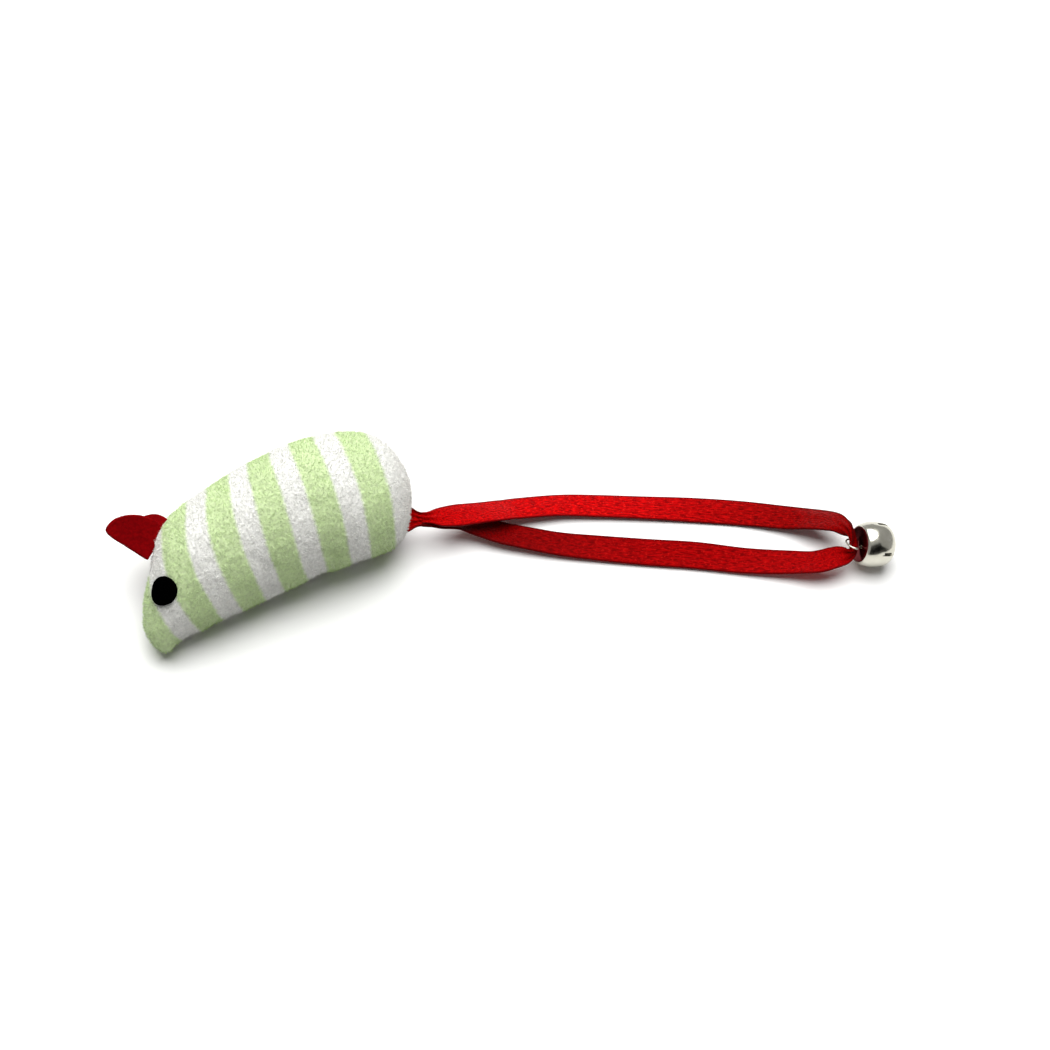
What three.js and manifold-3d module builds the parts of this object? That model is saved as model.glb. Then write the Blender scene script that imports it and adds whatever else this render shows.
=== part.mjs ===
// Catnip mouse: a stuffed plush mouse with felt ears and eyes, a ribbon tail and a jingle bell.
// Millimetres, +Z up. The mouse lies on its right flank on a table, with its nose towards -X.
import * as THREE from "three";
import { mergeVertices } from "three/addons/utils/BufferGeometryUtils.js";
import Module from "manifold-3d";

const wasm = await Module();
wasm.setup();

// Body: along the belly seam from the nose, up to the spine seam, and across the flanks
const BODY_LENGTH = 66;
const BODY_HEIGHT = 29;
const BODY_WIDTH = 27;
const BACK_FROM_END = 23;
const HEAD_LENGTH = 13;
const HEAD_HEIGHT = 23.7;
const HEAD_WIDTH = 22;
const MUZZLE_LENGTH = 6;
const MUZZLE_HEIGHT = 14.9;
const MUZZLE_WIDTH = 16;
const NOSE_RADIUS = 4.5;
const NOSE_LIFT = 2.6;
const CHIN_DROP = 1;
const HAUNCH_FROM_END = 8.5;
const HAUNCH_DROP = 2.8;
const HAUNCH_WIDTH = 23.6;
const RUMP_LIFT = 14.2;
const RUMP_HEIGHT = 14.5;
const RUMP_WIDTH = 15;
const RUMP_ROUNDING = 2.4;

// Plush, and the way the stuffed body lies
const PLUSH = 1.6;
const SEAM_GAP = 0.3;
const SKIN_GAP = 0.3;
const REST_DEPTH = 0.5;
const ROLL = THREE.MathUtils.degToRad(55);
const PITCH = THREE.MathUtils.degToRad(2);

// Catnip sachet, pushed into the stuffing from the belly seam
const POUCH_LENGTH = 22;
const POUCH_HEIGHT = 13;
const POUCH_THICK = 5;
const POUCH_FROM_NOSE = 38;
const POUCH_LIFT = 5;
const POUCH_GAP = 0.3;

// Felt ears and eyes
const EAR_BASE = 7.8;
const EAR_FRONT = 9.9;
const EAR_BULGE = 1.1;
const EAR_THICK = 1.2;
const EAR_FROM_NOSE = 6.4;
const EAR_LIFT = 18;
const EAR_SLOPE = THREE.MathUtils.degToRad(35);
const LEFT_EAR_SPLAY = THREE.MathUtils.degToRad(10);
const RIGHT_EAR_SPLAY = THREE.MathUtils.degToRad(58);
const EAR_APART = 3.2;
const EAR_STAGGER = 2;
const EAR_GAP = 0.5;
const EAR_ROOT = 4;
const EYE_DIAMETER = 6;
const EYE_THICK = 0.9;
const EYE_FROM_NOSE = 7.4;
const EYE_LIFT = 10.25;

// Gathered ribbon ends at the rump
const ROOT_FROM_END = 4;
const ROOT_LIFT = 3.7;
const ROOT_SLOPE = THREE.MathUtils.degToRad(-24);
const ROOT_LENGTH = 3;
const ROOT_FLARE = 5;
const ROOT_NECK = 2.4;

// Ribbon tail
const RIBBON_WIDTH = 6.35;
const RIBBON_THICK = 0.4;
const BUNDLE_WIDTH = 1.5;
const BUNDLE_THICK = 1.15;
const LAYER_STEP = 1.5;
const TAIL_YAW = THREE.MathUtils.degToRad(-27);
const TAIL_LENGTH = 93.8;
const TAIL_OFFSET = -4.8;

// Jingle bell
const BELL_DIAMETER = 10;
const BELL_LENGTH = 7.65;
const BELL_CROWN = 8.2;
const BELL_WALL = 0.5;
const BELL_ROLL = THREE.MathUtils.degToRad(-28);
const BELL_PITCH = THREE.MathUtils.degToRad(20);
const BELL_YAW = THREE.MathUtils.degToRad(13);
const SLOT_WIDTH = 0.8;
const SLOT_LENGTH = 4.2;
const WIRE = 0.45;
const SHANK_ROLL = THREE.MathUtils.degToRad(66);
const SHANK_RADIUS = 2;
const SHANK_DEPTH = 1.5;
const SHANK_NECK = 1.2;
const SHANK_REACH = 1.35;
const SHANK_TAIL = 1.9;
const WIRE_GAP = 0.3;
const PEA_DIAMETER = 2.8;
const PEA_GAP = 0.3;

const plush = new THREE.MeshStandardMaterial({ color: 0xd3dec2, roughness: 0.95, metalness: 0 });
const fill = new THREE.MeshStandardMaterial({ color: 0xf2f0e8, roughness: 1, metalness: 0 });
const herb = new THREE.MeshStandardMaterial({ color: 0x9aa06a, roughness: 1, metalness: 0 });
const redFelt = new THREE.MeshStandardMaterial({ color: 0x8c1420, roughness: 0.95, metalness: 0 });
const blackFelt = new THREE.MeshStandardMaterial({ color: 0x0b0b0c, roughness: 0.9, metalness: 0 });
const satin = new THREE.MeshStandardMaterial({ color: 0xc01a24, roughness: 0.45, metalness: 0 });
const nickel = new THREE.MeshStandardMaterial({ color: 0xd4d2cc, roughness: 0.15, metalness: 1 });

const vec = (x, y, z) => new THREE.Vector3(x, y, z);

// A closed surface through rings of points, shut at each end by a point
function skin(rings, first, last) {
  const count = rings[0].length;
  const points = [first, ...rings.flat(), last];
  const index = [];
  const end = points.length - 1;
  for (let j = 0; j < count; j += 1) {
    const next = (j + 1) % count;
    index.push(0, 1 + next, 1 + j);
    index.push(end, end - count + j, end - count + next);
    for (let i = 0; i < rings.length - 1; i += 1) {
      const a = 1 + i * count + j;
      const b = 1 + i * count + next;
      index.push(a, b, b + count, a, b + count, a + count);
    }
  }
  const geometry = new THREE.BufferGeometry().setFromPoints(points);
  geometry.setIndex(index);
  geometry.computeVertexNormals();
  return geometry;
}

// The solid of a geometry, and the geometry of a solid
function solid(geometry) {
  const plain = geometry.clone();
  plain.deleteAttribute("normal");
  plain.deleteAttribute("uv");
  const merged = mergeVertices(plain, 1e-4);
  const mesh = new wasm.Mesh({
    numProp: 3,
    vertProperties: merged.attributes.position.array,
    triVerts: new Uint32Array(merged.index.array),
  });
  return new wasm.Manifold(mesh);
}

function geometryOf(made) {
  const mesh = made.getMesh();
  const geometry = new THREE.BufferGeometry();
  geometry.setAttribute("position", new THREE.BufferAttribute(mesh.vertProperties, 3));
  geometry.setIndex(new THREE.BufferAttribute(mesh.triVerts, 1));
  geometry.computeVertexNormals();
  return geometry;
}

function block(sizes, centre) {
  return new THREE.BoxGeometry(...sizes).translate(...centre);
}

function add(group, name, geometry, material) {
  const mesh = new THREE.Mesh(geometry, material);
  mesh.name = name;
  group.add(mesh);
  return mesh;
}

// Body form: each section runs from the belly seam up to the spine seam and swells by its flank
const backX = BODY_LENGTH - BACK_FROM_END;
const haunchX = BODY_LENGTH - HAUNCH_FROM_END;
const shoulderX = (HEAD_LENGTH + backX) / 2;
const shoulderZ = HEAD_HEIGHT + (BODY_HEIGHT - HEAD_HEIGHT) * 0.8;
const shoulderFlank = HEAD_WIDTH / 2 + (BODY_WIDTH - HEAD_WIDTH) * 0.45;
const rumpX = BODY_LENGTH - RUMP_ROUNDING;
const sections = [
  { belly: [0, NOSE_LIFT], spine: [0, NOSE_LIFT], flank: 0 },
  {
    belly: [NOSE_RADIUS * 0.5, NOSE_LIFT - NOSE_RADIUS],
    spine: [NOSE_RADIUS * 0.3, NOSE_LIFT + NOSE_RADIUS],
    flank: NOSE_RADIUS * 0.9,
  },
  { belly: [MUZZLE_LENGTH, -CHIN_DROP], spine: [MUZZLE_LENGTH, MUZZLE_HEIGHT], flank: MUZZLE_WIDTH / 2 },
  { belly: [HEAD_LENGTH, -CHIN_DROP * 0.9], spine: [HEAD_LENGTH, HEAD_HEIGHT], flank: HEAD_WIDTH / 2 },
  { belly: [shoulderX, -CHIN_DROP * 0.2], spine: [shoulderX, shoulderZ], flank: shoulderFlank },
  { belly: [backX, 0], spine: [backX, BODY_HEIGHT], flank: BODY_WIDTH / 2 },
  { belly: [haunchX, 0], spine: [haunchX, BODY_HEIGHT - HAUNCH_DROP], flank: HAUNCH_WIDTH / 2 },
  {
    belly: [rumpX, RUMP_LIFT - RUMP_HEIGHT / 2],
    spine: [rumpX, RUMP_LIFT + RUMP_HEIGHT / 2],
    flank: RUMP_WIDTH / 2,
  },
  { belly: [BODY_LENGTH, RUMP_LIFT], spine: [BODY_LENGTH, RUMP_LIFT], flank: 0 },
];

function bodyForm(stations, sides) {
  const belly = sections.map((s) => vec(s.belly[0], 0, s.belly[1]));
  const spine = sections.map((s) => vec(s.spine[0], s.flank, s.spine[1]));
  const bellyLine = new THREE.CatmullRomCurve3(belly, false, "catmullrom");
  const spineLine = new THREE.CatmullRomCurve3(spine, false, "catmullrom");
  const rings = [];
  for (let i = 1; i < stations; i += 1) {
    const low = bellyLine.getPoint(i / stations);
    const high = spineLine.getPoint(i / stations);
    const flank = high.y;
    high.y = 0;
    const middle = low.clone().lerp(high, 0.5);
    const half = high.clone().sub(low).multiplyScalar(0.5);
    const ring = [];
    for (let j = 0; j < sides; j += 1) {
      const turn = (2 * Math.PI * j) / sides;
      const point = middle.clone().addScaledVector(half, Math.sin(turn));
      ring.push(point.add(vec(0, flank * Math.cos(turn), 0)));
    }
    rings.push(ring);
  }
  return skin(rings, belly[0], belly[belly.length - 1]);
}

// The same form moved out along its normals, or in where the distance is negative
function swollen(form, distance) {
  const moved = form.clone();
  const at = moved.attributes.position;
  const out = form.attributes.normal;
  for (let i = 0; i < at.count; i += 1) {
    const x = at.getX(i) + out.getX(i) * distance;
    const y = at.getY(i) + out.getY(i) * distance;
    at.setXYZ(i, x, y, at.getZ(i) + out.getZ(i) * distance);
  }
  return moved;
}

const form = bodyForm(32, 28);
const coarseForm = bodyForm(20, 20);
const outside = solid(form);

// The body rolls onto its right flank and its nose dips, then rests on the table
const mouse = new THREE.Group();
mouse.name = "mouse";
mouse.rotation.set(-ROLL, -PITCH, 0, "YXZ");
mouse.updateMatrix();
const lying = new THREE.Box3().setFromBufferAttribute(
  form.clone().applyMatrix4(mouse.matrix).attributes.position,
);
mouse.position.z = -lying.min.z - REST_DEPTH;
mouse.updateMatrix();
const span = 4 * BODY_LENGTH;
const table = solid(
  block([span, span, BODY_LENGTH], [0, 0, -BODY_LENGTH / 2]).applyMatrix4(mouse.matrix.clone().invert()),
);

// Side panels: two halves of the plush skin, which meet along the spine and belly seams
const shell = outside.subtract(solid(swollen(form, -PLUSH)));
const leftHalf = solid(block([span, span, span], [0, -(span + SEAM_GAP) / 2, 0]));
const rightHalf = solid(block([span, span, span], [0, (span + SEAM_GAP) / 2, 0]));
add(mouse, "left_side_panel", geometryOf(shell.intersect(leftHalf).subtract(table)), plush);
add(mouse, "right_side_panel", geometryOf(shell.intersect(rightHalf).subtract(table)), plush);

// Stuffing fills the skin and leaves a pocket from the belly up for the catnip sachet
const pocketHeight = POUCH_LIFT + POUCH_HEIGHT + POUCH_GAP;
const pocket = block(
  [POUCH_LENGTH + 2 * POUCH_GAP, POUCH_THICK + 2 * POUCH_GAP, pocketHeight],
  [POUCH_FROM_NOSE, 0, pocketHeight / 2],
);
const stuffing = solid(swollen(coarseForm, -PLUSH - SKIN_GAP));
add(mouse, "stuffing", geometryOf(stuffing.subtract(solid(pocket))), fill);
const pouchEdge = POUCH_THICK / 2;
const pouchShape = new THREE.Shape();
pouchShape.moveTo(pouchEdge - POUCH_LENGTH / 2, pouchEdge - POUCH_HEIGHT / 2);
pouchShape.lineTo(POUCH_LENGTH / 2 - pouchEdge, pouchEdge - POUCH_HEIGHT / 2);
pouchShape.lineTo(POUCH_LENGTH / 2 - pouchEdge, POUCH_HEIGHT / 2 - pouchEdge);
pouchShape.lineTo(pouchEdge - POUCH_LENGTH / 2, POUCH_HEIGHT / 2 - pouchEdge);
pouchShape.closePath();
const pouchGeometry = new THREE.ExtrudeGeometry(pouchShape, {
  depth: POUCH_THICK * 0.2,
  bevelThickness: POUCH_THICK * 0.4,
  bevelSize: pouchEdge,
  bevelSegments: 4,
});
pouchGeometry.translate(0, 0, -POUCH_THICK * 0.1);
const pouch = add(mouse, "catnip_pouch", geometryOf(solid(pouchGeometry)), herb);
pouch.rotation.x = Math.PI / 2;
pouch.position.set(POUCH_FROM_NOSE, 0, POUCH_LIFT + POUCH_HEIGHT / 2);

// Eyes: felt discs that follow the swell of the head
const eyeLayer = solid(swollen(form, SKIN_GAP + EYE_THICK)).subtract(solid(swollen(form, SKIN_GAP)));
const bodyMesh = new THREE.Mesh(form, plush);
for (const [name, side] of [
  ["left_eye", -1],
  ["right_eye", 1],
]) {
  const ray = new THREE.Raycaster(vec(EYE_FROM_NOSE, side * BODY_WIDTH, EYE_LIFT), vec(0, -side, 0));
  const hit = ray.intersectObject(bodyMesh)[0];
  const disc = new THREE.CylinderGeometry(EYE_DIAMETER / 2, EYE_DIAMETER / 2, 3 * EYE_DIAMETER / 2, 28);
  disc.applyQuaternion(new THREE.Quaternion().setFromUnitVectors(vec(0, 1, 0), hit.normal));
  disc.translate(hit.point.x, hit.point.y, hit.point.z);
  add(mouse, name, geometryOf(solid(disc).intersect(eyeLayer)), blackFelt);
}

// Ears: flat felt fans that stand beside the spine seam, cut to the crown at their base
const earClear = solid(swollen(form, EAR_GAP));
for (const [name, side, splay] of [
  ["left_ear", -1, LEFT_EAR_SPLAY],
  ["right_ear", 1, RIGHT_EAR_SPLAY],
]) {
  const fan = new THREE.Shape();
  fan.moveTo(0, -EAR_ROOT);
  fan.lineTo(0, EAR_FRONT * 0.9);
  fan.quadraticCurveTo(0, EAR_FRONT, EAR_BASE * 0.12, EAR_FRONT + EAR_BULGE * 0.2);
  fan.bezierCurveTo(EAR_BASE * 0.62, EAR_FRONT + EAR_BULGE, EAR_BASE + EAR_BULGE, EAR_FRONT * 0.58, EAR_BASE, 0);
  fan.lineTo(EAR_BASE, -EAR_ROOT);
  fan.closePath();
  const felt = new THREE.ExtrudeGeometry(fan, { depth: EAR_THICK, bevelEnabled: false, curveSegments: 10 });
  felt.translate(0, 0, -EAR_THICK / 2);
  felt.rotateX(Math.PI / 2 - side * splay);
  felt.rotateY(-EAR_SLOPE);
  const back = side > 0 ? EAR_STAGGER : 0;
  felt.translate(
    EAR_FROM_NOSE + back * Math.cos(EAR_SLOPE),
    (side * EAR_APART) / 2,
    EAR_LIFT + back * Math.sin(EAR_SLOPE),
  );
  const parts = solid(felt).subtract(earClear).decompose();
  parts.sort((a, b) => b.volume() - a.volume());
  add(mouse, name, geometryOf(parts[0]), redFelt);
}

// A flat strip through stations that each give a centre, the way across, a width and a thickness
function strip(stations) {
  const corners = [
    [1, 0.25],
    [0.94, 0.5],
    [-0.94, 0.5],
    [-1, 0.25],
    [-1, -0.25],
    [-0.94, -0.5],
    [0.94, -0.5],
    [1, -0.25],
  ];
  const rings = stations.map((s) =>
    corners.map(([across, up]) =>
      s.at
        .clone()
        .addScaledVector(s.across, (across * s.width) / 2)
        .addScaledVector(s.up, up * s.thick),
    ),
  );
  return skin(rings, stations[0].at, stations[stations.length - 1].at);
}

// Tail root: the sewn ends fan out at the seam and draw together to a round neck
const rootAlong = vec(Math.cos(ROOT_SLOPE), 0, Math.sin(ROOT_SLOPE));
const rootAcross = vec(-Math.sin(ROOT_SLOPE), 0, Math.cos(ROOT_SLOPE));
const rootStart = vec(BODY_LENGTH - ROOT_FROM_END, 0, ROOT_LIFT);
const rootStations = [
  [-2, ROOT_FLARE, ROOT_NECK * 0.7],
  [0.3, ROOT_FLARE, ROOT_NECK * 0.7],
  [ROOT_LENGTH * 0.45, ROOT_FLARE * 0.62, ROOT_NECK * 0.85],
  [ROOT_LENGTH * 0.75, ROOT_NECK, ROOT_NECK],
  [ROOT_LENGTH, ROOT_NECK, ROOT_NECK],
  [ROOT_LENGTH + ROOT_NECK * 0.35, ROOT_NECK * 0.6, ROOT_NECK * 0.6],
].map(([along, width, thick]) => ({
  at: rootStart.clone().addScaledVector(rootAlong, along),
  across: rootAcross,
  up: vec(0, -1, 0),
  width,
  thick,
}));
const rootSolid = solid(strip(rootStations)).subtract(solid(swollen(form, SKIN_GAP)));
add(mouse, "tail_root", geometryOf(rootSolid), satin);

// The origin is the middle of the mouse's foot print, on the table
mouse.updateMatrixWorld(true);
const middle = new THREE.Box3().setFromObject(mouse, true).getCenter(vec(0, 0, 0));
mouse.position.x = -middle.x;
mouse.position.y = -middle.y;
mouse.updateMatrixWorld(true);

// Tail: it swings about the neck of the root and lies along the table
const neck = rootStart.clone().addScaledVector(rootAlong, ROOT_LENGTH);
neck.applyMatrix4(mouse.matrixWorld);
const tail = new THREE.Group();
tail.name = "tail";
tail.position.set(neck.x, neck.y, 0);
tail.rotation.z = TAIL_YAW;
// Bell profile from its flat crown to its slotted end: along it, and out from its axis
function bellProfile(diameter, length, crown) {
  return [
    [0, 0],
    [0, (crown / 2) * 0.93],
    [length * 0.015, (crown / 2) * 0.985],
    [length * 0.05, crown / 2 + (diameter - crown) * 0.1],
    [length * 0.15, crown / 2 + (diameter - crown) * 0.3],
    [length * 0.3, crown / 2 + (diameter - crown) * 0.47],
    [length * 0.45, diameter / 2],
    [length * 0.6, diameter * 0.495],
    [length * 0.72, diameter * 0.48],
    [length * 0.82, diameter * 0.45],
    [length * 0.9, diameter * 0.4],
    [length * 0.96, diameter * 0.335],
    [length * 0.99, diameter * 0.27],
    [length, diameter * 0.18],
    [length, 0],
  ];
}

const crownX = SHANK_REACH;
const bellX = crownX + BELL_LENGTH / 2;
const bellDepths = bellProfile(BELL_DIAMETER, BELL_LENGTH, BELL_CROWN).map(
  ([along, out]) => (along - BELL_LENGTH / 2) * Math.sin(BELL_PITCH) + out * Math.cos(BELL_PITCH),
);
const bellHeight = Math.max(...bellDepths);
const bellLift = bellHeight + bellX * Math.sin(BELL_PITCH);
const start = ROOT_NECK / 2 + 0.4;
const step = LAYER_STEP / 2;
// Each point of the route: along and beside the tail, height over the table, lean and width.
// A lean of 0 lies flat and 90 stands on edge. The far run goes out to the bell, the near one returns.
const route = [
  [start, -0.2 * step, neck.z + 0.98 * step, 12, 2.6],
  [4.1, 0.6, neck.z * 0.99, 4, 4.8],
  [8.4, 2, neck.z * 0.86, -6, RIBBON_WIDTH],
  [12.7, 3.3, neck.z * 0.73, -10, RIBBON_WIDTH],
  [17, 5, neck.z * 0.54, -10, RIBBON_WIDTH],
  [21.3, 6.6, neck.z * 0.36, -10, RIBBON_WIDTH],
  [30, 8.2, 1.7, -9, RIBBON_WIDTH],
  [38.5, 8.5, 1.2, -6, RIBBON_WIDTH],
  [49.2, 8.3, 1, -4, RIBBON_WIDTH],
  [60, 7.8, 0.9, 2, RIBBON_WIDTH],
  [70.8, 7, 1, 2, RIBBON_WIDTH],
  [TAIL_LENGTH - 13.3, 5.3, 2, -2, RIBBON_WIDTH],
  [TAIL_LENGTH - 7.5, TAIL_OFFSET + 8.1, bellLift * 0.64, -8, RIBBON_WIDTH],
  [TAIL_LENGTH - 3.9, TAIL_OFFSET + 6.2, bellLift - 0.6, 0, 5.5],
  [TAIL_LENGTH - 1.9, TAIL_OFFSET + 4.2, bellLift + 0.4, 16, 3.6],
  [TAIL_LENGTH - 0.6, TAIL_OFFSET + 2.2, bellLift + 0.9, 55, 2.1],
  [TAIL_LENGTH, TAIL_OFFSET, bellLift, 90, BUNDLE_WIDTH],
  [TAIL_LENGTH - 0.15, TAIL_OFFSET - 1.2, bellLift - 1, 118, 2],
  [TAIL_LENGTH - 1.2, TAIL_OFFSET - 1.8, bellLift - 1.6, 148, 3.6],
  [TAIL_LENGTH - 3.5, TAIL_OFFSET - 2.1, bellLift - 2.1, 178, 5.3],
  [TAIL_LENGTH - 7.7, TAIL_OFFSET - 2.7, bellLift * 0.53, 189, RIBBON_WIDTH],
  [TAIL_LENGTH - 13.3, TAIL_OFFSET - 2, 2.2, 184, RIBBON_WIDTH],
  [70.8, -5.8, 1.2, 176, RIBBON_WIDTH],
  [60, -4.6, 1.3, 169, RIBBON_WIDTH],
  [49.2, -3.8, 1.2, 171, RIBBON_WIDTH],
  [38.5, -2.8, 1.1, 178, RIBBON_WIDTH],
  [29.9, -1.9, 1.2, 184, RIBBON_WIDTH],
  [21.3, -0.5, 1.8, 188, RIBBON_WIDTH],
  [17, 0.4, neck.z * 0.26, 190, RIBBON_WIDTH],
  [12.7, 1.6, neck.z * 0.36, 190, RIBBON_WIDTH],
  [8.4, 2.2, neck.z * 0.56, 186, RIBBON_WIDTH],
  [4.1, 0.9, neck.z * 0.79, 176, 4.8],
  [start, 0.2 * step, neck.z - 0.98 * step, 168, 2.6],
];
const path = new THREE.CatmullRomCurve3(
  route.map((r) => vec(r[0], r[1], r[2])),
  false,
  "catmullrom",
);
const turns = new THREE.CatmullRomCurve3(
  route.map((r) => vec(r[3], r[4], 0)),
  false,
  "catmullrom",
);
const ribbonStations = [];
const pieces = 2 * (route.length - 1);
for (let i = 0; i <= pieces; i += 1) {
  const along = path.getTangent(i / pieces);
  const turn = turns.getPoint(i / pieces);
  const lean = THREE.MathUtils.degToRad(turn.x);
  const beside = vec(-along.y, along.x, 0).normalize();
  const across = beside.multiplyScalar(Math.cos(lean)).add(vec(0, 0, Math.sin(lean)));
  across.addScaledVector(along, -across.dot(along)).normalize();
  const gather = Math.max(0, (RIBBON_WIDTH - turn.y) / (RIBBON_WIDTH - BUNDLE_WIDTH));
  ribbonStations.push({
    at: path.getPoint(i / pieces),
    across,
    up: along.clone().cross(across),
    width: Math.min(turn.y, RIBBON_WIDTH),
    thick: RIBBON_THICK + (BUNDLE_THICK - RIBBON_THICK) * gather,
  });
}
add(tail, "tail_ribbon", strip(ribbonStations), satin);

// Bell: it hangs from the ribbon by its wire shank, and lies with its slotted end down
const bell = new THREE.Group();
bell.name = "bell";
bell.position.set(TAIL_LENGTH, TAIL_OFFSET, bellLift);
bell.rotation.set(0, BELL_PITCH, BELL_YAW, "ZYX");

function pod(inset) {
  const diameter = BELL_DIAMETER - 2 * inset;
  const length = BELL_LENGTH - 2 * inset;
  const profile = bellProfile(diameter, length, BELL_CROWN - 2 * inset).map(
    ([along, out]) => new THREE.Vector2(out, along - length / 2),
  );
  return new THREE.LatheGeometry(profile, 28).rotateZ(-Math.PI / 2);
}

const slotX = BELL_LENGTH / 2 - SLOT_LENGTH;
const slotReach = BELL_LENGTH;
const slot = block([slotReach, 2 * BELL_DIAMETER, SLOT_WIDTH], [slotX + slotReach / 2, 0, 0]);
const crossSlot = block([slotReach, SLOT_WIDTH, 2 * BELL_DIAMETER], [slotX + slotReach / 2, 0, 0]);
const hole = WIRE / 2 + WIRE_GAP;
const legHole = new THREE.CylinderGeometry(hole, hole, BELL_LENGTH / 2, 14).rotateZ(Math.PI / 2);
legHole.translate(-BELL_LENGTH / 2, 0, 0);
const bellSolid = solid(pod(0))
  .subtract(solid(pod(BELL_WALL)))
  .subtract(solid(slot.rotateX(BELL_ROLL)))
  .subtract(solid(crossSlot.rotateX(BELL_ROLL)))
  .subtract(solid(legHole.clone().translate(0, 0, SHANK_NECK).rotateX(SHANK_ROLL)))
  .subtract(solid(legHole.clone().translate(0, 0, -SHANK_NECK).rotateX(SHANK_ROLL)));
const bellShell = add(bell, "bell_shell", geometryOf(bellSolid), nickel);
bellShell.position.x = bellX;

// Shank: a wire bent into a loop, whose two legs close up and pass through the crown of the bell
const legEnd = crownX + SHANK_TAIL;
const bend = [];
const opening = Math.PI / 3;
for (let i = 0; i <= 16; i += 1) {
  const turn = opening + ((2 * Math.PI - 2 * opening) * i) / 16;
  bend.push(vec(SHANK_DEPTH * Math.cos(turn), 0, SHANK_RADIUS * Math.sin(turn)));
}
const wirePoints = [
  vec(legEnd, 0, SHANK_NECK),
  vec(crownX - WIRE / 4, 0, SHANK_NECK),
  ...bend,
  vec(crownX - WIRE / 4, 0, -SHANK_NECK),
  vec(legEnd, 0, -SHANK_NECK),
];
const wireRings = wirePoints.map((point, i) => {
  const before = wirePoints[Math.max(i - 1, 0)];
  const after = wirePoints[Math.min(i + 1, wirePoints.length - 1)];
  const along = after.clone().sub(before).normalize();
  const out = vec(0, 1, 0).cross(along);
  const ring = [];
  for (let j = 0; j < 10; j += 1) {
    const turn = (2 * Math.PI * j) / 10;
    const spot = point.clone().addScaledVector(out, (WIRE / 2) * Math.cos(turn));
    ring.push(spot.add(vec(0, (WIRE / 2) * Math.sin(turn), 0)));
  }
  return ring;
});
const shank = skin(wireRings, wirePoints[0], wirePoints[wirePoints.length - 1]);
add(bell, "bell_shank", shank.rotateX(SHANK_ROLL), nickel);

// Pea: a loose ball that lies at the bottom of the bell
const pea = add(bell, "bell_pea", new THREE.SphereGeometry(PEA_DIAMETER / 2, 16, 12), nickel);
const peaDrop = bellHeight - BELL_WALL - PEA_DIAMETER / 2 - PEA_GAP;
pea.position.set(bellX + peaDrop * Math.sin(BELL_PITCH), 0, -peaDrop * Math.cos(BELL_PITCH));
tail.add(bell);

const part = new THREE.Group();
part.name = "catnip_mouse";
part.add(mouse, tail);
export default part;
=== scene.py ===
import math

import bmesh
import bpy
import numpy as np
from mathutils import Matrix, Vector, noise
from mathutils.bvhtree import BVHTree


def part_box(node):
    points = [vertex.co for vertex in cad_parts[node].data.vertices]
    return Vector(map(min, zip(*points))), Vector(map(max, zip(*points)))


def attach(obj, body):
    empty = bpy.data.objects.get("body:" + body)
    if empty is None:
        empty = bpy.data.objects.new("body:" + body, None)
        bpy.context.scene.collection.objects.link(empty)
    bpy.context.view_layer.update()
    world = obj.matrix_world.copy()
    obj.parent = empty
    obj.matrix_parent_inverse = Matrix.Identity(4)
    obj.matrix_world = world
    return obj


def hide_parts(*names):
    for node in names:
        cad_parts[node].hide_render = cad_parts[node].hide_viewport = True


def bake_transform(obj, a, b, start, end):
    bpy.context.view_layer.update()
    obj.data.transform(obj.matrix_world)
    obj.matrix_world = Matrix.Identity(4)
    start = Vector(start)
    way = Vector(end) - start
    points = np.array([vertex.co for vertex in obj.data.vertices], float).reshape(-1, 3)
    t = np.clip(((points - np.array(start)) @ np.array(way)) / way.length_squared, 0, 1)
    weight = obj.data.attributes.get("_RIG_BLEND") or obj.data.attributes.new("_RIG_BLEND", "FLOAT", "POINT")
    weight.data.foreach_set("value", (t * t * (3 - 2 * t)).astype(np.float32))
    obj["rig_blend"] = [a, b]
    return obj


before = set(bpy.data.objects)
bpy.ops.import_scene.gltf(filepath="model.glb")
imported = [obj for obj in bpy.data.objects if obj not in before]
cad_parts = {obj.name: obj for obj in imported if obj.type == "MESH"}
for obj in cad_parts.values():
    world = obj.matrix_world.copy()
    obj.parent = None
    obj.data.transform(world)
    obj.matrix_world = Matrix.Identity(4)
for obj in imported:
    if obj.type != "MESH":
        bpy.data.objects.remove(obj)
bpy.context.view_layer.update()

# Plush side panels: two pieces of striped short-pile plush, cut to the outline of the mouse and
# sewn together inside out along the spine and the belly. Turned and stuffed, they swell between
# the seams, and the sewing thread pulls the seams into a puckered groove.
MM = 0.001
body_rows = [  # mm from the nose, belly seam, spine seam, half width, belly further back
    (0, 2.6, 2.6, 0, 0),
    (1.8, -1.9, 7.1, 4.05, 0.45),
    (6, -1, 14.9, 8, 0),
    (13, -0.9, 23.7, 11, 0),
    (28, -0.7, 27.94, 12.125, 0),
    (43, -0.6, 29.3, 13.5, 0),
    (57.5, -0.7, 26.7, 11.8, 0),
    (63.6, 6.3, 21.45, 7.5, 0),
    (66, 14.2, 14.2, 0, 0),
]
body_roll = math.radians(55)
body_pitch = math.radians(2)
plush_thickness = 1.3 * MM
seam_pull = 0.45 * MM
pile_length = 0.62 * MM
pile_thickness = 0.07 * MM
pile_spacing = 0.33 * MM
stripe_repeat = 11.5
stripe_width = 6.25
stripe_blur = 0.4
stripe_fray = 0.9
body_length = 66
body_middle = 14
half_width = 13.5


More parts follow.
